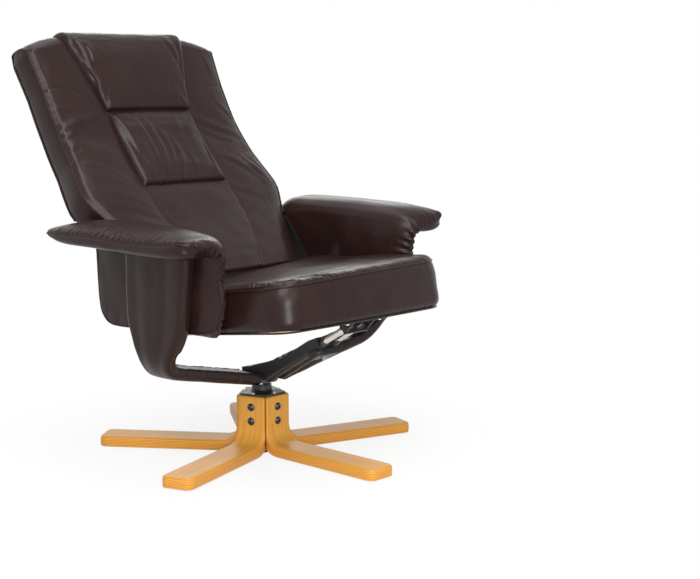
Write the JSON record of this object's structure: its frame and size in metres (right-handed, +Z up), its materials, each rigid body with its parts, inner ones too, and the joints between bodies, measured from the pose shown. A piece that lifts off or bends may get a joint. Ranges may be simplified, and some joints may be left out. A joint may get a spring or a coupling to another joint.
{
  "type": "recliner armchair",
  "caption": "Swivel recliner armchair: padded seat, curved reclining back and padded arms on a bent plywood star base, with a twin-rod glide under the seat.",
  "frame": {"origin": "on the floor under the swivel axis", "axes": "+Z up, -Y is the way the sitter faces, +X is the sitter's left"},
  "size_m": [0.784, 0.9158, 0.9329],
  "materials": {
    "beech_plywood": "clear satin lacquer on laminated beech",
    "raw_plywood": "uncoated plywood",
    "brown_leather": "semi-gloss leatherette over foam",
    "black_steel": "satin black powder coat",
    "black_bolt": "black oxide",
    "zinc_steel": "zinc plated",
    "chrome_rod": "polished chrome",
    "nylon": "natural nylon",
    "black_plastic": "moulded"
  },
  "bodies": {
    "base": {"leg_1": "beech_plywood", "leg_2": "beech_plywood", "leg_3": "beech_plywood", "leg_4": "beech_plywood", "leg_5": "beech_plywood", "leg_bolts": "black_bolt", "leg_glides": "black_plastic", "hub_core": "black_steel", "hub_plug": "black_plastic", "hub_plate": "black_steel", "hub_screws": "zinc_steel", "swivel_bush": "nylon"},
    "frame": {"spindle": "black_steel", "spindle_retainer": "zinc_steel", "bracket_bar": "black_steel", "bracket_cover_left": "brown_leather", "bracket_cover_right": "brown_leather", "head_bolts": "zinc_steel", "glide_arm": "black_steel", "sleeve_left": "black_steel", "sleeve_right": "black_steel", "rod_bushes": "nylon", "friction_block": "black_steel", "friction_screw": "zinc_steel", "arm_board_left": "raw_plywood", "arm_board_right": "raw_plywood", "arm_plate_left": "black_steel", "arm_plate_right": "black_steel", "arm_pad_left": "brown_leather", "arm_pad_right": "brown_leather", "arm_bolts": "zinc_steel", "pivot_bolt_left": "zinc_steel", "pivot_bolt_right": "zinc_steel"},
    "seat": {"seat_board": "raw_plywood", "seat_cushion": "brown_leather", "rod_left": "chrome_rod", "rod_right": "chrome_rod", "rod_bracket": "black_steel", "seat_hinge_left": "black_steel", "seat_hinge_right": "black_steel", "hinge_pin_left": "zinc_steel", "hinge_pin_right": "zinc_steel", "seat_screws": "zinc_steel"},
    "back": {"back_board": "raw_plywood", "back_cushion": "brown_leather", "rear_cover": "brown_leather", "lumbar_pad": "brown_leather", "head_pillow": "brown_leather", "back_bracket_left": "black_steel", "back_bracket_right": "black_steel", "back_screws": "zinc_steel"}
  },
  "joints": [
    {"name": "swivel", "type": "hinge", "parent": "base", "child": "frame", "pos_m": [0, 0, 0.15], "axis": [0, 0, 1], "continuous": true},
    {"name": "seat_glide", "type": "slide", "parent": "frame", "child": "seat", "axis": [0, -0.8616, 0.5075], "range_m": [-0.065, 0]},
    {"name": "back_recline", "type": "hinge", "parent": "frame", "child": "back", "pos_m": [0, 0.189, 0.48], "axis": [1, 0, 0], "range_deg": [0, 22]}
  ],
  "couplings": [
    {"joint": "back_recline", "follows": "seat_glide", "rad_per_m": -5.8824}
  ]
}
